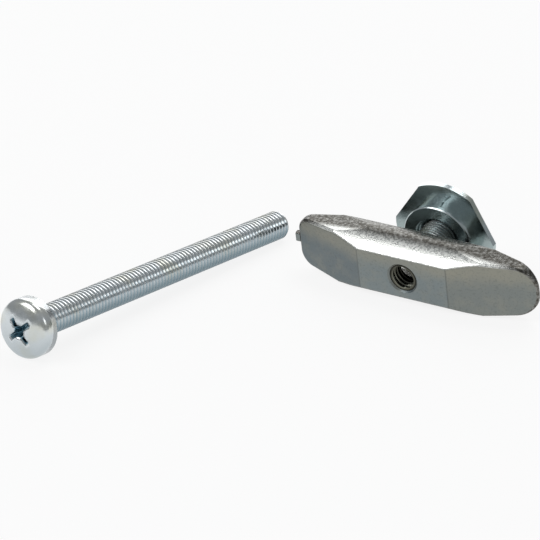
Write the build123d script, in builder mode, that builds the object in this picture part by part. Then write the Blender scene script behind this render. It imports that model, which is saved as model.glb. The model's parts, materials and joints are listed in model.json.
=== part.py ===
"""Metal toggle anchor for hollow walls, with its machine screw lying beside it.

The anchor lies as it does when put down on a table: on the round underside of its
toggle bar and on one flat of its flange nut, so that its sleeve points up a little.
X runs along the toggle bar, Y leads away from the bar's face and Z is up.

Each anchor piece is drawn face up: the bar's flat face is at Z = 0, the sleeve's
axis is the Z axis and the depths behind the face are negative. The screw is drawn
with its shank up and the bearing face of its head at Z = 0. Both are then laid down.
"""
import os
from math import acos, atan2, cos, degrees, hypot, radians, sin, sqrt

from build123d import *

# ------------------------------------------------------------ thread and fits
thread_diameter = 6.0
running_clearance = 0.05  # radial, a shaft in its bore
screw_clearance = 0.15  # radial, the screw in the sleeve
channel_clearance = 0.25  # each side of the sleeve in the bar's channel

# ------------------------------------------------------------ toggle bar
bar_radius = 6.85  # rounded sides of the section
bar_axis_depth = 5.1  # face to the centre of the section
bar_depth = 9.6  # face to the back, in the middle
back_half_length = 10.5  # the middle, straight part of the back
back_edge_radius = 0.5
facet_half_length = 10.1  # the middle part of the face
wing_half_width = 5.4  # half the width at the ends
left_reach = 26.5
right_reach = 27.8
left_fall = 4.86  # face to the front of the left end, as the wings slope back
right_fall = 5.24
left_back = 6.49  # face to the back of the left end
right_back = 6.24
left_corner_radius = 3.2
right_corner_radius = 5.2
face_edge_radius = 0.7
tapped_wall = 4.4  # between the face and the channel
countersink = 0.35
channel_half_length = 19.0
channel_corner_radius = 2.0
nub_length = 1.0  # stub of the casting gate
nub_height = 2.2
nub_width = 1.3
nub_corner_radius = 0.4
nub_rise = 0.2  # above the middle of the end

# ------------------------------------------------------------ threaded sleeve
sleeve_radius = 4.0
sleeve_length = 18.0
pivot_depth = 7.5  # face to the axis of the trunnions
pivot_to_sleeve_end = 1.0
trunnion_radius = 1.2
trunnion_reach = 5.2  # sleeve's axis to the end of a trunnion

# ------------------------------------------------------------ flange nut
flange_radius = 11.15
flange_thickness = 1.2
flat_distance = 9.8  # nut's axis to each of the three flats
flange_depth = 17.8  # bar's face to the flange
collar_radius = 7.7
collar_length = 3.0
collar_chamfer = 0.2
recess_radius = 5.1
recess_depth = 0.9
nut_turn = -5.0  # one flat nearly faces the table
slit_length = 2.0  # nearly axial slit in the collar's side
slit_width = 0.35
slit_depth = 0.5
slit_to_flange = 1.2  # from its middle
slit_turn = 6.0  # round the collar from its top
slit_slant = 10.0

# ------------------------------------------------------------ machine screw
screw_length = 80.0
head_radius = 6.0
head_height = 4.6
crown_radius = 12.5
crown_edge_radius = 1.5
cross_span = 6.3
cross_wing = 1.15
cross_heart = 2.6  # across the middle of the recess
cross_depth = 3.3
cross_floor_share = 0.55  # the floor's size over the mouth's
cross_turn = 42.0
tip_chamfer = 0.6

# ------------------------------------------------------------ how they lie
head_from_hole_x = -47.0
head_from_hole_y = -61.5
screw_yaw = 5.5  # screw's axis turned from Y towards X

hole_radius = thread_diameter / 2 + running_clearance
sleeve_bore = thread_diameter / 2 + screw_clearance
nut_bore = sleeve_radius + running_clearance
socket_radius = trunnion_radius + running_clearance
socket_reach = trunnion_reach + channel_clearance
channel_half_width = sleeve_radius + channel_clearance
sleeve_top = pivot_to_sleeve_end - pivot_depth
crown_side = head_height - crown_radius + sqrt(crown_radius**2 - head_radius**2)

# ------------------------------------------------------------ toggle bar
# A round rod cut by the folded face and the flat back, then by its outline seen
# from the front; the channel in its back takes the sleeve.
with BuildPart() as toggle_bar:
    with BuildSketch(Plane.YZ.offset((right_reach - left_reach) / 2)):
        with Locations((0, -bar_axis_depth)):
            Circle(bar_radius)
    extrude(amount=(left_reach + right_reach) / 2, both=True)
    with BuildSketch(Plane.XZ):
        with BuildLine():
            Polyline(
                (-left_reach, -left_fall),
                (-facet_half_length, 0),
                (facet_half_length, 0),
                (right_reach, -right_fall),
                (right_reach, -right_back),
                (back_half_length, -bar_depth),
                (-back_half_length, -bar_depth),
                (-left_reach, -left_back),
                close=True,
            )
        make_face()
    extrude(amount=bar_radius, both=True, mode=Mode.INTERSECT)
    with BuildSketch(Plane.XY) as outline:
        with BuildLine():
            Polyline(
                (-left_reach, -wing_half_width),
                (-facet_half_length, -bar_radius),
                (facet_half_length, -bar_radius),
                (right_reach, -wing_half_width),
                (right_reach, wing_half_width),
                (facet_half_length, bar_radius),
                (-facet_half_length, bar_radius),
                (-left_reach, wing_half_width),
                close=True,
            )
        make_face()
        fillet(outline.vertices().group_by(Axis.X)[0], left_corner_radius)
        fillet(outline.vertices().group_by(Axis.X)[-1], right_corner_radius)
    extrude(amount=-2 * bar_depth, mode=Mode.INTERSECT)
    for sense, half_length, radius in (
        (1, facet_half_length, face_edge_radius),
        (-1, back_half_length, back_edge_radius),
    ):
        facets = toggle_bar.faces().filter_by(lambda face: sense * face.normal_at().Z > 0.9)
        rims = facets.edges().filter_by(
            lambda edge: edge.length < 2 * half_length or abs(edge.tangent_at(0.5).Y) < 0.9
        )
        folds = rims.filter_by(
            lambda edge: abs(edge.tangent_at(0.5).Y) > 0.99
            and abs(abs(edge.center().X) - half_length) < 0.01
        )
        fillet(rims - folds, radius)
    with BuildSketch(Plane.XY.offset(-bar_depth)):
        RectangleRounded(2 * channel_half_length, 2 * channel_half_width, channel_corner_radius)
    extrude(amount=bar_depth - tapped_wall, mode=Mode.SUBTRACT)
    with BuildSketch(Plane.XZ):
        with Locations((0, -pivot_depth)):
            Circle(socket_radius)
    extrude(amount=socket_reach, both=True, mode=Mode.SUBTRACT)
    CounterSinkHole(hole_radius, hole_radius + countersink, tapped_wall, 90)
    with BuildSketch(Plane.YZ.offset(-left_reach)):
        with Locations((nub_rise, -(left_fall + left_back) / 2)):
            RectangleRounded(nub_height, nub_width, nub_corner_radius)
    extrude(amount=-nub_length)

# ------------------------------------------------------------ threaded sleeve
with BuildPart() as threaded_sleeve:
    with BuildSketch(Plane.XY.offset(sleeve_top)):
        Circle(sleeve_radius)
    extrude(amount=-sleeve_length)
    with BuildSketch(Plane.XZ):
        with Locations((0, -pivot_depth)):
            Circle(trunnion_radius)
    extrude(amount=trunnion_reach, both=True)
    with BuildSketch(Plane.XY.offset(sleeve_top)):
        Circle(sleeve_bore)
    extrude(amount=-sleeve_length, mode=Mode.SUBTRACT)

# ------------------------------------------------------------ flange nut
with BuildPart() as flange_nut:
    with BuildSketch(Plane.XY.offset(-flange_depth)):
        Circle(flange_radius)
        RegularPolygon(flat_distance, 3, major_radius=False, rotation=90 + nut_turn, mode=Mode.INTERSECT)
    extrude(amount=-flange_thickness)
    with BuildSketch(Plane.XY.offset(-flange_depth)):
        Circle(collar_radius)
    extrude(amount=collar_length)
    chamfer(flange_nut.edges().group_by(Axis.Z)[-1], collar_chamfer)
    with Locations((0, 0, collar_length - flange_depth)):
        CounterSinkHole(
            nut_bore,
            recess_radius,
            collar_length + flange_thickness,
            2 * degrees(atan2(recess_radius - nut_bore, recess_depth)),
        )
    slit_plane = Plane(
        origin=(
            collar_radius * sin(radians(slit_turn)),
            collar_radius * cos(radians(slit_turn)),
            slit_to_flange - flange_depth,
        ),
        x_dir=(0, 0, 1),
        z_dir=(sin(radians(slit_turn)), cos(radians(slit_turn)), 0),
    )
    with BuildSketch(slit_plane):
        SlotOverall(slit_length, slit_width, rotation=slit_slant)
    extrude(amount=-slit_depth, mode=Mode.SUBTRACT)

# ------------------------------------------------------------ machine screw
with BuildPart() as machine_screw:
    with BuildSketch(Plane.XZ) as section:
        with BuildLine():
            Polyline(
                (0, screw_length),
                (thread_diameter / 2 - tip_chamfer, screw_length),
                (thread_diameter / 2, screw_length - tip_chamfer),
                (thread_diameter / 2, 0),
                (head_radius, 0),
                (head_radius, -crown_side),
            )
            RadiusArc((head_radius, -crown_side), (0, -head_height), crown_radius)
            Line((0, -head_height), (0, screw_length))
        make_face()
    revolve(axis=Axis.Z)
    rim = machine_screw.edges().filter_by(GeomType.CIRCLE).filter_by(
        lambda edge: abs(edge.center().Z + crown_side) < 0.01
    )
    fillet(rim, crown_edge_radius)
    mouth = Plane(origin=(0, 0, -head_height), x_dir=(1, 0, 0), z_dir=(0, 0, -1))
    for turn in (cross_turn, cross_turn + 90):
        with BuildSketch(mouth):
            Rectangle(cross_span, cross_wing, rotation=turn)
        with BuildSketch(mouth.offset(-cross_depth)):
            Rectangle(
                cross_floor_share * cross_span, cross_floor_share * cross_wing, rotation=turn
            )
        loft(mode=Mode.SUBTRACT)
    with BuildSketch(mouth):
        Rectangle(cross_heart, cross_heart, rotation=cross_turn + 45)
    with BuildSketch(mouth.offset(-cross_depth)):
        Rectangle(
            cross_floor_share * cross_heart,
            cross_floor_share * cross_heart,
            rotation=cross_turn + 45,
        )
    loft(mode=Mode.SUBTRACT)

# ------------------------------------------------------------ laying them down
# The bar's round underside touches the table together with the near edge of the
# flange, at the corner of its lowest flat, which sets how far the sleeve rises.
flange_corner = acos(flat_distance / flange_radius) - abs(radians(nut_turn))
flange_drop = flange_radius * cos(flange_corner)
axis_to_flange = flange_depth - bar_axis_depth
rise = acos(bar_radius / hypot(axis_to_flange, flange_drop)) - atan2(
    axis_to_flange, flange_drop
)
hole_height = bar_radius - bar_axis_depth * sin(rise)
anchor_place = Plane(
    origin=(0, 0, hole_height), x_dir=(1, 0, 0), z_dir=(0, -cos(rise), -sin(rise))
).location

# The screw lies on the edge of its head and on the end of its thread.
dip = atan2(head_radius - thread_diameter / 2, screw_length - tip_chamfer)
yaw = radians(screw_yaw)
screw_place = Plane(
    origin=(head_from_hole_x, head_from_hole_y, head_radius * cos(dip)),
    x_dir=(cos(yaw), -sin(yaw), 0),
    z_dir=(sin(yaw) * cos(dip), cos(yaw) * cos(dip), -sin(dip)),
).location

laid = {
    "toggle_bar": toggle_bar.part.moved(anchor_place),
    "threaded_sleeve": threaded_sleeve.part.moved(anchor_place),
    "flange_nut": flange_nut.part.moved(anchor_place),
    "machine_screw": machine_screw.part.moved(screw_place),
}

# The origin is on the table, under the middle of the whole set.
boxes = [piece.bounding_box() for piece in laid.values()]
to_origin = Location(
    (
        -(min(box.min.X for box in boxes) + max(box.max.X for box in boxes)) / 2,
        -(min(box.min.Y for box in boxes) + max(box.max.Y for box in boxes)) / 2,
        -min(box.min.Z for box in boxes),
    )
)

os.makedirs("parts", exist_ok=True)
for name, piece in laid.items():
    placed = piece.moved(to_origin)
    placed.label = name
    export_step(placed, f"parts/{name}.step")
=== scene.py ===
"""Studio scene of a metal toggle anchor for hollow walls and its machine screw.

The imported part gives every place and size. This script cuts the screw threads, gives
the castings and the plated pieces their surfaces, and sets up floor, lamps and camera.
Pieces are built in millimetres: the anchor's from the mouth of its tapped hole with Z
out of the bar's face, the screw's from the underside of its head with Z to the tip.
"""

import json
import logging
from collections.abc import Callable
from dataclasses import dataclass
from enum import Enum
from math import cos, pi, radians, sin

import bmesh
import bpy
from mathutils import Matrix, Vector


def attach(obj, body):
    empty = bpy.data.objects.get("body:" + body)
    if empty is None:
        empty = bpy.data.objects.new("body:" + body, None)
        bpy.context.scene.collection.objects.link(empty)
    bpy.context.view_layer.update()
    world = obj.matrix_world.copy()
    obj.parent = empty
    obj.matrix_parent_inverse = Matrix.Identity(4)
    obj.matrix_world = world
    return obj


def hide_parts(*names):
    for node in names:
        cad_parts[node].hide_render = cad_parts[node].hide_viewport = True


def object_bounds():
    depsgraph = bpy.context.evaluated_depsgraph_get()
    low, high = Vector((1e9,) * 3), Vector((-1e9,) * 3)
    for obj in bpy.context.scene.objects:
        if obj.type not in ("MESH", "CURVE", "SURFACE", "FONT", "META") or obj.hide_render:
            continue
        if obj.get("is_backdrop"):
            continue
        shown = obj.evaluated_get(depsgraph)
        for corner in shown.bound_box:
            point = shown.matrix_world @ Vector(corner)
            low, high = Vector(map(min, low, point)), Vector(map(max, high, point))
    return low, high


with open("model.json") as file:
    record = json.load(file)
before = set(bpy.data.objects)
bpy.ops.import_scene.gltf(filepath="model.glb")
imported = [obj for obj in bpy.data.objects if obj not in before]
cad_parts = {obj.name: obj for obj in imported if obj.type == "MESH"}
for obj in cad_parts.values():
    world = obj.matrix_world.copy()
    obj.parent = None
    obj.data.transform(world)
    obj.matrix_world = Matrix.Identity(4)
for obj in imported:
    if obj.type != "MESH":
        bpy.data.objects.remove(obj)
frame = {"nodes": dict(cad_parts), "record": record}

LOG = logging.getLogger("toggle_anchor")
MM = 0.001
Colour = tuple[float, float, float]


class End(Enum):
    """The two ends of a turned piece, seen along its own Z axis."""

    LOW = -1
    HIGH = 1


# ---------------------------------------------------------------- places
def mount(name: str) -> dict:
    """Finds one of the record's mounts.

    Args:
        name: The mount's name.

    Returns:
        The mount, with its middle, its axis and its sizes.
    """
    return next(m for m in frame["record"]["mounts"] if m["name"] == name)


def placing(origin: Vector, along: Vector, across: Vector) -> Matrix:
    """Makes the matrix that takes a piece from millimetres to its place.

    Args:
        origin: Where the piece's own origin goes, in metres.
        along: The direction of the piece's Z axis.
        across: The direction of the piece's X axis.

    Returns:
        The matrix from the piece's millimetres to the scene's metres.
    """
    turn = Matrix((across, along.cross(across), along)).transposed().to_4x4()
    return Matrix.Translation(origin) @ turn @ Matrix.Scale(MM, 4)


@dataclass(frozen=True)
class Places:
    """Where the anchor and the screw lie.

    Attributes:
        countersink: Depth of the tapped hole's countersink, in millimetres.
    """

    countersink: float = 0.35

    def hole_mouth(self) -> Vector:
        """Returns the middle of the tapped hole's mouth, in metres."""
        hole = mount("tapped_hole")
        reach = hole["dims"]["length_mm"] / 2 + self.countersink
        return Vector(hole["pos_m"]) + Vector(hole["axis"]) * reach * MM

    def anchor(self) -> Matrix:
        """Returns the matrix that lays down a piece of the anchor."""
        outwards = Vector(mount("tapped_hole")["axis"])
        return placing(self.hole_mouth(), outwards, Vector((1, 0, 0)))

    def screw(self) -> Matrix:
        """Returns the matrix that lays down the screw."""
        shank = mount("screw_shank")
        to_tip = Vector(shank["axis"])
        start = Vector(shank["pos_m"]) - to_tip * shank["dims"]["length_mm"] / 2 * MM
        return placing(start, to_tip, to_tip.cross(Vector((0, 0, 1))).normalized())


# ---------------------------------------------------------------- meshes
def add_shell(bm: bmesh.types.BMesh, shell: bmesh.types.BMesh) -> None:
    """Adds one bmesh to another and frees it.

    Args:
        bm: The bmesh that receives the shell.
        shell: The bmesh that is added.
    """
    passing = bpy.data.meshes.new("passing")
    shell.to_mesh(passing)
    shell.free()
    bm.from_mesh(passing)
    bpy.data.meshes.remove(passing)


def rim_edges(bm: bmesh.types.BMesh, height: float) -> list[bmesh.types.BMEdge]:
    """Finds the open edges at one height.

    Args:
        bm: The bmesh to look in.
        height: The Z of the open rim, in millimetres.

    Returns:
        The open edges whose ends both lie at that height.
    """
    slack = 1e-3
    return [
        edge
        for edge in bm.edges
        if edge.is_boundary and all(abs(v.co.z - height) < slack for v in edge.verts)
    ]


def set_piece(
    bm: bmesh.types.BMesh,
    name: str,
    place: Matrix,
    material: bpy.types.Material,
    crease: float = 35.0,
) -> bpy.types.Object:
    """Turns a finished bmesh into a piece of the scene.

    Args:
        bm: The bmesh in the piece's own millimetres, which is freed.
        name: The piece's name.
        place: The matrix that lays the piece down.
        material: The piece's finish.
        crease: Edges that turn by more than this many degrees stay sharp.

    Returns:
        The new object, with its place in its mesh.
    """
    bmesh.ops.recalc_face_normals(bm, faces=bm.faces)
    bm.transform(place)
    mesh = bpy.data.meshes.new(name)
    bm.to_mesh(mesh)
    bm.free()
    mesh.materials.append(material)
    mesh.shade_smooth()
    mesh.set_sharp_from_angle(angle=radians(crease))
    piece = bpy.data.objects.new(name, mesh)
    bpy.context.scene.collection.objects.link(piece)
    LOG.info("%s: %d faces", name, len(mesh.polygons))
    return piece


@dataclass(frozen=True)
class Thread:
    """A right-hand screw thread cut on a rod or in a hole.

    Attributes:
        pitch: Rise of one turn, in millimetres.
        peak: Radius where the thread meets its mate's root, in millimetres.
        valley: Radius of the bottom of the groove, in millimetres.
        valley_flat: Width of the groove's bottom, over the pitch.
        peak_flat: Width of the peak, over the pitch.
        steps: Faces round one turn.
    """

    pitch: float
    peak: float
    valley: float
    valley_flat: float = 0.1
    peak_flat: float = 0.34
    steps: int = 40

    def cut(self, low: float, high: float) -> bmesh.types.BMesh:
        """Winds the thread as a tube that is open at both ends.

        Args:
            low: Z of the lower end, in millimetres.
            high: Z of the upper end, in millimetres.

        Returns:
            A new bmesh with the wound surface.
        """
        bm = bmesh.new()
        rise = (self.valley, self.valley, self.peak, self.peak, self.valley)
        flank = (1 - self.valley_flat - self.peak_flat) / 2
        peak_start = self.valley_flat + flank
        shares = (0.0, self.valley_flat, peak_start, peak_start + self.peak_flat, 1.0)
        start = low - 1.5 * self.pitch
        line = [
            bm.verts.new((radius, 0, start + share * self.pitch))
            for radius, share in zip(rise, shares)
        ]
        edges = [bm.edges.new(pair) for pair in zip(line, line[1:])]
        turns = int((high - low) / self.pitch) + 3
        bmesh.ops.spin(
            bm,
            geom=line + edges,
            cent=(0, 0, 0),
            axis=(0, 0, 1),
            dvec=(0, 0, self.pitch / self.steps),
            angle=2 * pi * turns,
            steps=turns * self.steps,
            use_merge=False,
            use_duplicate=False,
        )
        bmesh.ops.remove_doubles(bm, verts=bm.verts, dist=self.pitch / 200)
        for height, end in ((low, End.LOW), (high, End.HIGH)):
            bmesh.ops.bisect_plane(
                bm,
                geom=bm.verts[:] + bm.edges[:] + bm.faces[:],
                dist=1e-5,
                plane_co=(0, 0, height),
                plane_no=(0, 0, end.value),
                clear_outer=True,
            )
        return bm

    def sleeve(self, low: float, high: float, wall: float) -> bmesh.types.BMesh:
        """Winds the thread and closes it with a plain wall on its other side.

        Args:
            low: Z of the lower end, in millimetres.
            high: Z of the upper end, in millimetres.
            wall: Radius of the plain wall, in millimetres.

        Returns:
            A new bmesh with the closed threaded ring.
        """
        bm = self.cut(low, high)
        bmesh.ops.create_cone(
            bm,
            cap_ends=False,
            segments=self.steps,
            radius1=wall,
            radius2=wall,
            depth=high - low,
            matrix=Matrix.Translation((0, 0, (low + high) / 2)),
        )
        for height in (low, high):
            bmesh.ops.bridge_loops(bm, edges=rim_edges(bm, height))
        return bm


# ---------------------------------------------------------------- finishes
@dataclass
class Bench:
    """Lays out the nodes of one material.

    Attributes:
        tree: The material's node tree.
    """

    tree: bpy.types.NodeTree

    def add(self, kind: str, settings: dict | None = None, **sockets) -> bpy.types.Node:
        """Adds a node.

        Args:
            kind: The node's type, without its ShaderNode prefix.
            settings: The node's own properties.
            **sockets: Values or other nodes' outputs for the inputs. An input's
                name has _ for a blank, and an unnamed one is given as in0, in1.

        Returns:
            The new node.
        """
        node = self.tree.nodes.new("ShaderNode" + kind)
        for name, value in (settings or {}).items():
            setattr(node, name, value)
        for name, value in sockets.items():
            slot = (
                node.inputs[int(name[2:])]
                if name[:2] == "in" and name[2:].isdigit()
                else node.inputs[name.replace("_", " ")]
            )
            if isinstance(value, bpy.types.NodeSocket):
                self.tree.links.new(value, slot)
            else:
                slot.default_value = value
        return node

    def noise(self, size: float, detail: float = 2.0) -> bpy.types.NodeSocket:
        """Adds a cloudy pattern fixed to the piece.

        Args:
            size: Width of one cloud, in millimetres.
            detail: How many finer layers it has.

        Returns:
            The pattern's value from 0 to 1.
        """
        place = self.add("TexCoord").outputs["Object"]
        cloud = self.add("TexNoise", Vector=place, Scale=1 / (size * MM), Detail=detail)
        return cloud.outputs[0]

    def span(
        self, value: bpy.types.NodeSocket, low: float, high: float, start=0.0, end=1.0
    ) -> bpy.types.NodeSocket:
        """Stretches a value from one span to another, smoothly at both ends.

        Args:
            value: The value.
            low: The value that becomes start.
            high: The value that becomes end.
            start: The lowest result.
            end: The highest result.

        Returns:
            The stretched value.
        """
        stretch = self.add(
            "MapRange",
            {"interpolation_type": "SMOOTHSTEP"},
            Value=value,
            From_Min=low,
            From_Max=high,
            To_Min=start,
            To_Max=end,
        )
        return stretch.outputs[0]

    def blend(self, share, low, high) -> bpy.types.NodeSocket:
        """Blends two colours.

        Args:
            share: The second colour's share, from 0 to 1.
            low: The first colour, as a Colour or a socket.
            high: The second colour, as a Colour or a socket.

        Returns:
            The blended colour.
        """
        sides = [c if isinstance(c, bpy.types.NodeSocket) else (*c, 1.0) for c in (low, high)]
        mix = self.add("Mix", {"data_type": "RGBA"}, in0=share, in6=sides[0], in7=sides[1])
        return mix.outputs[2]

    def depth(self, origin: Vector, along: Vector) -> bpy.types.NodeSocket:
        """Measures how far a point lies along a direction.

        Args:
            origin: Where the measure starts, in metres.
            along: The direction.

        Returns:
            The distance in millimetres.
        """
        place = self.add("TexCoord").outputs["Object"]
        near = self.add("VectorMath", {"operation": "SUBTRACT"}, in0=place, in1=origin)
        scaled = along / MM
        dot = self.add("VectorMath", {"operation": "DOT_PRODUCT"}, in0=near.outputs[0], in1=scaled)
        return dot.outputs["Value"]

    def facing(self, along: Vector) -> bpy.types.NodeSocket:
        """Measures how squarely the surface faces a direction, from -1 to 1.

        Args:
            along: The direction.

        Returns:
            The cosine between the surface's own direction and it.
        """
        surface = self.add("NewGeometry").outputs["Normal"]
        dot = self.add("VectorMath", {"operation": "DOT_PRODUCT"}, in0=surface, in1=along)
        return dot.outputs["Value"]

    def off_axis(self, origin: Vector, along: Vector) -> bpy.types.NodeSocket:
        """Measures how far a point lies from an axis.

        Args:
            origin: A point of the axis, in metres.
            along: The axis's direction.

        Returns:
            The distance in millimetres.
        """
        place = self.add("TexCoord").outputs["Object"]
        near = self.add("VectorMath", {"operation": "SUBTRACT"}, in0=place, in1=origin)
        scaled = along / MM
        arm = self.add("VectorMath", {"operation": "CROSS_PRODUCT"}, in0=near.outputs[0], in1=scaled)
        return self.add("VectorMath", {"operation": "LENGTH"}, in0=arm.outputs[0]).outputs["Value"]

    def largest(self, first, second) -> bpy.types.NodeSocket:
        """Takes the larger of two values, each a number or a socket."""
        return self.add("Math", {"operation": "MAXIMUM"}, in0=first, in1=second).outputs[0]

    def times(self, first, second) -> bpy.types.NodeSocket:
        """Multiplies two values, each a number or a socket."""
        return self.add("Math", {"operation": "MULTIPLY"}, in0=first, in1=second).outputs[0]

    def relief(self, height, lift: float, under=None) -> bpy.types.NodeSocket:
        """Raises the surface by a pattern.

        Args:
            height: The pattern, from 0 to 1.
            lift: Height of the full pattern, in millimetres.
            under: Another relief that this one lies on.

        Returns:
            The raised surface's direction.
        """
        laid = {} if under is None else {"Normal": under}
        bump = self.add("Bump", Height=height, Distance=lift * MM, Strength=1.0, **laid)
        return bump.outputs[0]


def new_bench(name: str) -> tuple[bpy.types.Material, Bench, bpy.types.Node]:
    """Starts a material.

    Args:
        name: The material's name.

    Returns:
        The material, its bench and its shader.
    """
    material = bpy.data.materials.new(name)
    material.use_nodes = True
    tree = material.node_tree
    return material, Bench(tree), tree.nodes["Principled BSDF"]


@dataclass(frozen=True)
class ZincPlate:
    """Blue passivated zinc plate on smooth turned steel.

    Attributes:
        name: The finish's name.
        blue: Colour of the film where it is thin.
        straw: Colour of the film where it is thick.
        straw_share: How much straw shows at most.
        patch: Width of the film's patches, in millimetres.
        gloss: Roughness of the brightest and of the dullest places.
        ripple: Height of the fine ripple, in millimetres.
        under: Colour of the painted shade on what faces down.
        painted_shade_colour: Colour of the painted shade in grooves and recesses.
    """

    name: str
    blue: Colour
    straw: Colour
    straw_share: float
    patch: float
    gloss: tuple[float, float]
    ripple: float
    # Painted shade colours: on what faces down, and in grooves and recesses.
    under: Colour
    painted_shade_colour: Colour = (0.07, 0.09, 0.10)

    def material(self, painted_shade: Callable | None = None, underside_shade_share: Callable | None = None):
        """Makes the finish.

        Args:
            painted_shade: Lays out on a bench the painted shade in grooves and recesses, from 0 to
                1.
            underside_shade_share: Lays out how much of the painted shade on what faces down shows,
                from 0 to 1.

        Returns:
            The material.
        """
        material, bench, shader = new_bench(self.name)
        film = bench.span(bench.noise(self.patch), 0.45, 0.72, 0.0, self.straw_share)
        dull = bench.span(bench.noise(self.patch / 3, 4.0), 0.3, 0.7, *self.gloss)
        ripple = bench.relief(bench.noise(0.35, 3.0), self.ripple)
        links = bench.tree.links
        colour = bench.blend(film, self.blue, self.straw)
        # Painted shade: what faces down takes the under colour.
        low = bench.span(bench.facing(Vector((0, 0, 1))), -0.45, 0.75, 1.0, 0.0)
        low = low if underside_shade_share is None else bench.times(low, underside_shade_share(bench))
        colour = bench.blend(low, colour, self.under)
        # Painted shade: grooves and recesses take the shade colour.
        if painted_shade is not None:
            colour = bench.blend(painted_shade(bench), colour, self.painted_shade_colour)
        links.new(colour, shader.inputs["Base Color"])
        links.new(dull, shader.inputs["Roughness"])
        links.new(ripple, shader.inputs["Normal"])
        shader.inputs["Metallic"].default_value = 1.0
        return material


@dataclass(frozen=True)
class PlatedCasting:
    """Zinc plate on a die casting: matt flat faces, bright grainy rounds, painted shade on the back
    and underside.

    Attributes:
        name: The finish's name.
        face: Colour of the middle flat face.
        left_face_shaded: Colour of the left wing's face, which turns left, darker as painted shade.
        right_face_shaded: Colour of the face where it turns right, a little darker as painted shade.
        stain: Warm stain in patches of the faces.
        pit_and_fold_shade: Colour of the fine pits, and of the painted shade line along the folds.
        round: Colour of the bright rounded sides.
        shade: Colour of the painted shade on the back of the rounded sides and on what faces down.
        grain: Width of the casting's grain, in millimetres.
        grain_lift: Height of the grain, in millimetres.
        fold: From the middle to the folds of the face, in millimetres.
    """

    name: str = "plated_casting"
    face: Colour = (0.235, 0.27, 0.275)
    left_face_shaded: Colour = (0.17, 0.20, 0.21)
    right_face_shaded: Colour = (0.225, 0.245, 0.235)
    stain: Colour = (0.36, 0.34, 0.27)
    pit_and_fold_shade: Colour = (0.10, 0.11, 0.11)
    round: Colour = (0.86, 0.87, 0.84)
    shade: Colour = (0.075, 0.07, 0.06)
    grain: float = 0.28
    grain_lift: float = 0.035
    fold: float = 10.1

    def material(self, places: Places) -> bpy.types.Material:
        """Makes the finish.

        Args:
            places: Where the bar lies, for its flat faces and its back.

        Returns:
            The material.
        """
        material, bench, shader = new_bench(self.name)
        outwards = Vector(mount("tapped_hole")["axis"])
        upwards = outwards.cross(Vector((1, 0, 0)))
        flat = bench.span(bench.facing(outwards), 0.84, 0.93)
        flat = bench.largest(flat, bench.span(bench.facing(-outwards), 0.84, 0.93))
        off = bench.off_axis(places.hole_mouth(), outwards)
        flat = bench.largest(flat, bench.span(off, 3.6, 3.9, 1.0, 0.0))
        high = bench.span(bench.depth(places.hole_mouth(), upwards), 0.5, 4.2)
        # Painted shade masks: the back of the rounds, eased at the very back edge, and what faces
        # down.
        back = bench.span(bench.depth(places.hole_mouth(), -outwards), 2.6, 4.6)
        rim = bench.span(bench.depth(places.hole_mouth(), -outwards), 8.3, 9.3, 1.0, 0.25)
        under = bench.span(bench.facing(upwards), -0.55, 0.1, 1.0, 0.0)
        cloud = bench.span(bench.noise(2.6, 3.0), 0.4, 0.75)
        speck = bench.span(bench.noise(0.5, 2.0), 0.35, 0.65)
        pits = bench.span(bench.noise(0.42, 3.0), 0.28, 0.5, 0.28, 0.0)
        # Painted shade: the face is darker where it turns left and a little darker where it turns
        # right.
        slope = bench.facing(Vector((1, 0, 0)))
        face = bench.blend(bench.span(slope, -0.24, -0.06, 1.0, 0.0), self.face, self.left_face_shaded)
        face = bench.blend(bench.span(slope, 0.06, 0.24), face, self.right_face_shaded)
        face = bench.blend(bench.times(cloud, 0.22), face, self.stain)
        face = bench.blend(bench.times(high, 0.5), face, self.stain)
        face = bench.blend(pits, face, self.pit_and_fold_shade)
        # Painted shade: a dark line along each fold between the face's facets.
        across = bench.depth(places.hole_mouth(), Vector((1, 0, 0)))
        across = bench.add("Math", {"operation": "ABSOLUTE"}, in0=across).outputs[0]
        fold = bench.times(
            bench.span(across, self.fold - 0.25, self.fold, 0.0, 0.5),
            bench.span(across, self.fold, self.fold + 0.25, 1.0, 0.0),
        )
        face = bench.blend(fold, face, self.pit_and_fold_shade)
        patchy = bench.span(bench.noise(0.6, 4.0), 0.3, 0.62, 0.78, 1.0)
        # Painted shade on the rounded sides: their back and what faces down take the shade colour.
        dark = bench.times(bench.largest(bench.times(back, patchy), under), rim)
        side = bench.blend(dark, self.round, self.shade)
        colour = bench.blend(flat, side, face)
        dull_side = bench.span(speck, 0.0, 1.0, 0.22, 0.42)
        dull = bench.add(
            "Mix", {"data_type": "FLOAT"}, in0=flat, in2=dull_side, in3=0.5
        ).outputs[0]
        lift = bench.span(flat, 0.0, 1.0, 1.0, 0.3)
        grain = bench.times(bench.noise(self.grain, 2.0), lift)
        links = bench.tree.links
        links.new(colour, shader.inputs["Base Color"])
        links.new(dull, shader.inputs["Roughness"])
        links.new(bench.relief(grain, self.grain_lift), shader.inputs["Normal"])
        shader.inputs["Metallic"].default_value = 1.0
        return material


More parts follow.
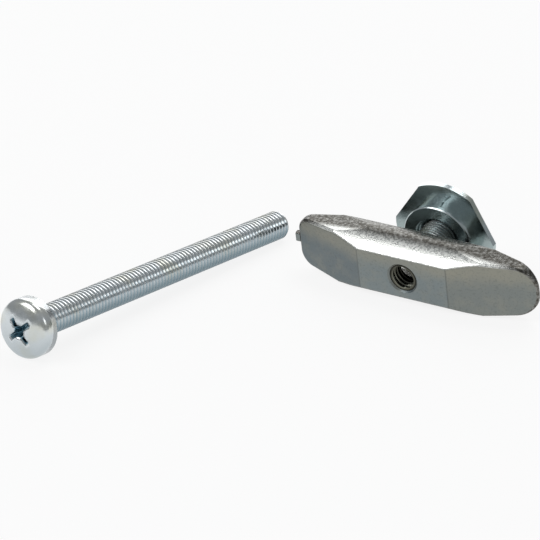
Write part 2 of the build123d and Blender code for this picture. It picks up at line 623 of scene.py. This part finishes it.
# ---------------------------------------------------------------- pieces
@dataclass(frozen=True)
class MachineScrew:
    """The pan-head machine screw, threaded up to its head.

    Attributes:
        thread: The metric thread of the shank.
        run_out: Plain neck under the head, in millimetres.
        tip_chamfer: Length of the chamfer at the tip, in millimetres.
        head_height: Height of the head, in millimetres.
        crown_radius: Radius of the head's crown, in millimetres.
        finish: The screw's plate.
    """

    thread: Thread = Thread(pitch=1.0, peak=3.0, valley=2.5, steps=44)
    run_out: float = 0.5
    tip_chamfer: float = 0.6
    head_height: float = 4.6
    crown_radius: float = 12.5
    finish: ZincPlate = ZincPlate(
        name="screw_plate",
        blue=(0.82, 0.86, 0.88),
        straw=(0.78, 0.75, 0.58),
        straw_share=0.5,
        patch=5.0,
        gloss=(0.16, 0.27),
        ripple=0.004,
        # Painted shade colours: on what faces down, and in the grooves and the head's recess.
        under=(0.20, 0.26, 0.29),
        painted_shade_colour=(0.13, 0.26, 0.33),
    )

    def head(self, place: Matrix) -> bmesh.types.BMesh:
        """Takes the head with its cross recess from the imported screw.

        Args:
            place: The matrix that lays the screw down.

        Returns:
            A bmesh with the closed head, in the screw's own millimetres.
        """
        bm = bmesh.new()
        bm.from_mesh(frame["nodes"]["machine_screw"].data)
        bm.transform(place.inverted())
        bmesh.ops.remove_doubles(bm, verts=bm.verts, dist=1e-3)
        bmesh.ops.bisect_plane(
            bm,
            geom=bm.verts[:] + bm.edges[:] + bm.faces[:],
            dist=1e-5,
            plane_co=(0, 0, self.run_out),
            plane_no=(0, 0, 1),
            clear_outer=True,
        )
        bmesh.ops.edgeloop_fill(bm, edges=rim_edges(bm, self.run_out))
        return bm

    def shank(self, length: float) -> bmesh.types.BMesh:
        """Winds the shank's thread and closes its ends.

        Args:
            length: From the underside of the head to the tip, in millimetres.

        Returns:
            A bmesh with the closed shank.
        """
        low = self.run_out / 2
        bm = self.thread.cut(low, length)
        for vertex in bm.verts:
            past = vertex.co.z - (length - self.tip_chamfer)
            widest = self.thread.peak - max(past, 0.0)
            radius = vertex.co.xy.length
            if radius > widest:
                vertex.co.xy *= widest / radius
        for height in (low, length):
            bmesh.ops.edgeloop_fill(bm, edges=rim_edges(bm, height))
        return bm

    def shank_only(self, bench: Bench) -> bpy.types.NodeSocket:
        """Lays out how much painted shade on what faces down shows: 1 on the shank, 0.55 on the
        head.
        """
        place = Places().screw()
        to_tip = place.to_3x3().col[2].normalized()
        return bench.span(bench.depth(place.translation, to_tip), -0.2, 0.3, 0.55, 1.0)

    def painted_shade(self, bench: Bench) -> bpy.types.NodeSocket:
        """Lays out the painted shade in the thread's grooves and the head's recess.

        Args:
            bench: The bench of the screw's finish.

        Returns:
            The share of painted shade, from 0 to 1.
        """
        place = Places().screw()
        to_tip = place.to_3x3().col[2].normalized()
        off = bench.off_axis(place.translation, to_tip)
        along = bench.depth(place.translation, to_tip)
        groove = bench.span(off, self.thread.valley, self.thread.peak, 0.72, 0.0)
        groove = bench.times(groove, bench.span(along, 0.1, 0.4))
        dome = bench.times(bench.times(off, off), -0.5 / self.crown_radius)
        sunk = bench.add("Math", in0=along, in1=dome).outputs[0]
        recess = bench.span(sunk, 0.1 - self.head_height, 0.5 - self.head_height, 0.0, 0.85)
        recess = bench.times(recess, bench.span(off, 3.7, 4.2, 1.0, 0.0))
        recess = bench.times(recess, bench.span(along, -1.4, -1.0, 1.0, 0.0))
        return bench.largest(groove, recess)

    def build(self, places: Places) -> bpy.types.Object:
        """Builds the screw in its place.

        Args:
            places: Where the pieces lie.

        Returns:
            The screw.
        """
        place = places.screw()
        length = mount("screw_shank")["dims"]["length_mm"] + self.tip_chamfer
        bm = self.head(place)
        add_shell(bm, self.shank(length))
        finish = self.finish.material(self.painted_shade, self.shank_only)
        screw = set_piece(bm, "screw_with_thread", place, finish, crease=55.0)
        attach(screw, "bar")
        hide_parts("machine_screw")
        return screw


@dataclass(frozen=True)
class ThreadedSleeve:
    """The sleeve that the nut runs on, with the two trunnions it swings on.

    Attributes:
        pitch: Pitch of the fine outer thread, in millimetres.
        outer_radius: Over the thread, in millimetres.
        groove: Depth of the thread, in millimetres.
        trunnion_radius: Radius of the trunnions, in millimetres.
        trunnion_reach: Sleeve's axis to the end of a trunnion, in millimetres.
        trunnion_bevel: Edge break of the trunnions, in millimetres.
        pivot_to_end: Trunnions' axis to the near end of the sleeve, in millimetres.
        finish: The sleeve's plate.
    """

    pitch: float = 0.75
    outer_radius: float = 4.0
    groove: float = 0.36
    trunnion_radius: float = 1.2
    trunnion_reach: float = 5.2
    trunnion_bevel: float = 0.15
    pivot_to_end: float = 1.0
    finish: ZincPlate = ZincPlate(
        name="sleeve_plate",
        blue=(0.72, 0.76, 0.77),
        straw=(0.55, 0.53, 0.42),
        straw_share=0.4,
        patch=3.0,
        gloss=(0.18, 0.30),
        ripple=0.005,
        # Painted shade colour on what faces down.
        under=(0.16, 0.18, 0.18),
    )

    def trunnion(self, height: float, sense: int) -> bmesh.types.BMesh:
        """Makes one trunnion.

        Args:
            height: Z of the trunnions' axis, in millimetres.
            sense: 1 for the upper one, -1 for the lower one.

        Returns:
            A bmesh with the closed trunnion, rooted in the sleeve's wall.
        """
        root = self.outer_radius - 2 * self.groove
        long = self.trunnion_reach - root
        bm = bmesh.new()
        bmesh.ops.create_cone(
            bm,
            cap_ends=True,
            segments=32,
            radius1=self.trunnion_radius,
            radius2=self.trunnion_radius,
            depth=long,
            matrix=Matrix.Translation((0, sense * (root + long / 2), height))
            @ Matrix.Rotation(pi / 2, 4, "X"),
        )
        rims = [edge for edge in bm.edges if not edge.is_boundary and len(edge.link_faces) == 2]
        sharp = [edge for edge in rims if edge.calc_face_angle(0.0) > 1.0]
        bmesh.ops.bevel(
            bm,
            geom=sharp,
            offset=self.trunnion_bevel,
            affect="EDGES",
            segments=2,
            profile=0.5,
            material=-1,
        )
        return bm

    def painted_shade(self, bench: Bench) -> bpy.types.NodeSocket:
        """Lays out the painted shade in the sleeve's grooves and its bore."""
        place = Places().anchor()
        off = bench.off_axis(place.translation, place.to_3x3().col[2].normalized())
        return bench.span(off, self.outer_radius - self.groove, self.outer_radius, 0.9, 0.0)

    def build(self, places: Places) -> bpy.types.Object:
        """Builds the sleeve in its place.

        Args:
            places: Where the pieces lie.

        Returns:
            The sleeve.
        """
        bore = mount("sleeve_bore")
        length = bore["dims"]["length_mm"]
        middle = (places.anchor().inverted() @ Vector(bore["pos_m"])).z
        high = middle + length / 2
        thread = Thread(self.pitch, self.outer_radius, self.outer_radius - self.groove)
        bm = thread.sleeve(middle - length / 2, high, bore["dims"]["r_mm"])
        for sense in (-1, 1):
            add_shell(bm, self.trunnion(high - self.pivot_to_end, sense))
        sleeve = set_piece(
            bm, "sleeve_with_thread", places.anchor(), self.finish.material(self.painted_shade)
        )
        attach(sleeve, "sleeve")
        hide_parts("threaded_sleeve")
        return sleeve


@dataclass(frozen=True)
class ToggleBar:
    """The cast toggle bar and the thread tapped in its wall.

    Attributes:
        tapped: The thread in the bar's wall.
        skin: How far the thread's plain wall stays inside the hole, in millimetres.
        casting: The bar's own finish.
        hole_thread_shaded: Finish of the thread in the hole, darkened overall as painted shade
            inside the hole.
    """

    tapped: Thread = Thread(pitch=1.0, peak=2.46, valley=2.98, steps=44)
    skin: float = 0.01
    casting: PlatedCasting = PlatedCasting()
    hole_thread_shaded: ZincPlate = ZincPlate(
        name="tapped_thread",
        # Painted shade: all the colours here are darkened for the shade inside the hole.
        blue=(0.30, 0.31, 0.26),
        straw=(0.24, 0.22, 0.14),
        straw_share=0.6,
        patch=1.5,
        gloss=(0.18, 0.30),
        ripple=0.006,
        under=(0.10, 0.10, 0.08),
        painted_shade_colour=(0.012, 0.012, 0.010),
    )

    def dress(self, places: Places) -> None:
        """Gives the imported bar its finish.

        Args:
            places: Where the pieces lie.
        """
        bar = frame["nodes"]["toggle_bar"]
        material = self.casting.material(places)
        for slot in bar.material_slots:
            slot.material = material
        LOG.info("toggle_bar: dressed")

    def painted_shade(self, bench: Bench) -> bpy.types.NodeSocket:
        """Lays out the painted shade on the tapped thread: in its grooves and deep down."""
        place = Places().anchor()
        outwards = place.to_3x3().col[2].normalized()
        off = bench.off_axis(place.translation, outwards)
        groove = bench.span(off, self.tapped.peak, self.tapped.valley, 0.0, 0.95)
        deep = bench.span(bench.depth(place.translation, outwards), -3.6, -0.8, 0.95, 0.0)
        return bench.largest(groove, deep)

    def build(self, places: Places) -> bpy.types.Object:
        """Builds the thread in the bar's hole and dresses the bar.

        Args:
            places: Where the pieces lie.

        Returns:
            The tapped thread.
        """
        self.dress(places)
        hole = mount("tapped_hole")["dims"]
        high = -places.countersink
        wall = hole["r_mm"] - self.skin
        bm = self.tapped.sleeve(high - hole["length_mm"], high, wall)
        thread = set_piece(
            bm, "tapped_thread", places.anchor(), self.hole_thread_shaded.material(self.painted_shade)
        )
        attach(thread, "bar")
        return thread


@dataclass(frozen=True)
class FlangeNut:
    """The flange nut on the sleeve.

    Attributes:
        finish: The nut's plate.
    """

    finish: ZincPlate = ZincPlate(
        name="nut_plate",
        blue=(0.66, 0.73, 0.75),
        straw=(0.42, 0.43, 0.30),
        straw_share=0.55,
        patch=6.0,
        gloss=(0.14, 0.26),
        ripple=0.010,
        # Painted shade colour on what faces down.
        under=(0.34, 0.41, 0.41),
    )

    def dress(self) -> None:
        """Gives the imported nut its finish."""
        material = self.finish.material()
        for slot in frame["nodes"]["flange_nut"].material_slots:
            slot.material = material
        LOG.info("flange_nut: dressed")


# ---------------------------------------------------------------- studio
@dataclass(frozen=True)
class Softbox:
    """A square lamp that shines at the anchor.

    Attributes:
        name: The lamp's name.
        azimuth: From the front towards the right, in degrees.
        elevation: Above the floor, in degrees.
        away: Distance, in metres.
        size: Side of the square, in metres.
        glow: Brightness of its surface, where 1 is white.
    """

    name: str
    azimuth: float
    elevation: float
    away: float
    size: float
    glow: float

    def place(self, aim: Vector) -> bpy.types.Object:
        """Puts the lamp in the scene.

        Args:
            aim: The point that it shines at.

        Returns:
            The lamp.
        """
        a, e = radians(self.azimuth), radians(self.elevation)
        out = Vector((sin(a) * cos(e), -cos(a) * cos(e), sin(e)))
        light = bpy.data.lights.new(self.name, "AREA")
        light.shape = "SQUARE"
        light.size = self.size
        light.energy = self.glow * pi * self.size**2
        lamp = bpy.data.objects.new(self.name, light)
        lamp.location = aim + out * self.away
        lamp.rotation_euler = out.to_track_quat("Z", "Y").to_euler()
        bpy.context.scene.collection.objects.link(lamp)
        return lamp


@dataclass(frozen=True)
class Studio:
    """The floor, the lamps and the camera.

    Attributes:
        floor_side: Side of the floor, in metres.
        floor_pale: How pale the floor is.
        floor_glow: Share of plain white that the floor shows.
        sky: Brightness of the room.
        azimuth: The camera's turn from the front to the right, in degrees.
        elevation: The camera's height over the floor, in degrees.
        roll: The camera's tilt to its left, in degrees.
        away: The camera's distance from under the hole, in metres.
        lens: The camera's focal length, over its sensor's width.
        off_x: How far right of the middle the hole's foot stands, over the width.
        off_y: How far under the middle it stands, over the width.
        softboxes: The lamps.
    """

    floor_side: float = 8.0
    floor_pale: float = 0.93
    floor_glow: float = 0.86
    sky: float = 0.3
    azimuth: float = 28.39
    elevation: float = 22.24
    roll: float = 1.99
    away: float = 0.793
    lens: float = 7.343
    off_x: float = 0.243
    off_y: float = 0.0644
    softboxes: tuple[Softbox, ...] = (
        Softbox("front_softbox", -32.0, 46.0, 1.1, 0.7, 2.6),
        Softbox("back_softbox", -155.0, 27.0, 1.2, 1.0, 1.7),
        Softbox("top_softbox", 172.0, 70.0, 1.2, 0.55, 2.6),
        Softbox("right_softbox", 78.0, 30.0, 1.3, 0.4, 1.6),
    )

    def lay_floor(self, height: float) -> bpy.types.Object:
        """Lays the pale floor.

        Args:
            height: Z of the floor, in metres.

        Returns:
            The floor.
        """
        bm = bmesh.new()
        bmesh.ops.create_grid(bm, x_segments=1, y_segments=1, size=self.floor_side / 2)
        bm.transform(Matrix.Translation((0, 0, height)))
        mesh = bpy.data.meshes.new("floor")
        bm.to_mesh(mesh)
        bm.free()
        material, bench, shader = new_bench("floor")
        pale = self.floor_pale
        shader.inputs["Base Color"].default_value = (pale, pale, pale, 1.0)
        shader.inputs["Roughness"].default_value = 1.0
        shader.inputs["Specular IOR Level"].default_value = 0.0
        path = bench.add("LightPath").outputs
        seen = bench.add(
            "Math",
            {"operation": "MAXIMUM"},
            in0=path["Is Camera Ray"],
            in1=path["Is Glossy Ray"],
        ).outputs[0]
        seen = bench.add(
            "Math", {"operation": "MAXIMUM"}, in0=seen, in1=path["Is Transmission Ray"]
        ).outputs[0]
        white = bench.add("Emission", Color=(1, 1, 1, 1), Strength=1.0).outputs[0]
        share = bench.times(seen, self.floor_glow)
        mixed = bench.add("MixShader", in0=share, in1=shader.outputs[0], in2=white)
        output = bench.tree.nodes["Material Output"]
        bench.tree.links.new(mixed.outputs[0], output.inputs["Surface"])
        mesh.materials.append(material)
        floor = bpy.data.objects.new("floor", mesh)
        bpy.context.scene.collection.objects.link(floor)
        floor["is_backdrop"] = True
        return floor

    def light_room(self) -> None:
        """Gives the room an even, faintly cool light."""
        world = bpy.data.worlds.new("room")
        world.use_nodes = True
        sky = world.node_tree.nodes["Background"]
        sky.inputs["Color"].default_value = (0.95, 0.98, 1.0, 1.0)
        sky.inputs["Strength"].default_value = self.sky
        bpy.context.scene.world = world

    def set_camera(self, foot: Vector) -> bpy.types.Object:
        """Sets up the camera.

        Args:
            foot: The point of the floor under the tapped hole.

        Returns:
            The camera.
        """
        a, e, q = radians(self.azimuth), radians(self.elevation), radians(self.roll)
        back = Vector((sin(a) * cos(e), -cos(a) * cos(e), sin(e)))
        level = Vector((cos(a), sin(a), 0.0))
        upright = back.cross(level)
        right = level * cos(q) + upright * sin(q)
        up = upright * cos(q) - level * sin(q)
        sight = -back - right * self.off_x / self.lens + up * self.off_y / self.lens
        z_axis = -sight.normalized()
        x_axis = (right - z_axis * right.dot(z_axis)).normalized()
        y_axis = z_axis.cross(x_axis)
        data = bpy.data.cameras.new("camera")
        data.lens = self.lens * data.sensor_width
        camera = bpy.data.objects.new("camera", data)
        turn = Matrix((x_axis, y_axis, z_axis)).transposed().to_4x4()
        camera.matrix_world = Matrix.Translation(foot + back * self.away) @ turn
        bpy.context.scene.collection.objects.link(camera)
        bpy.context.scene.camera = camera
        return camera

    def build(self, places: Places) -> None:
        """Sets up the studio round the object.

        Args:
            places: Where the pieces lie.
        """
        low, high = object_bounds()
        mouth = places.hole_mouth()
        self.lay_floor(low[2])
        self.light_room()
        for softbox in self.softboxes:
            softbox.place(mouth)
        self.set_camera(Vector((mouth.x, mouth.y, low[2])))
        bpy.context.scene.view_settings.view_transform = "Standard"


def main() -> None:
    """Builds the pieces and the studio."""
    logging.basicConfig(level=logging.INFO, format="%(name)s: %(message)s")
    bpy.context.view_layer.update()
    places = Places()
    ToggleBar().build(places)
    ThreadedSleeve().build(places)
    FlangeNut().dress()
    MachineScrew().build(places)
    Studio().build(places)


if __name__ == "__main__":
    main()
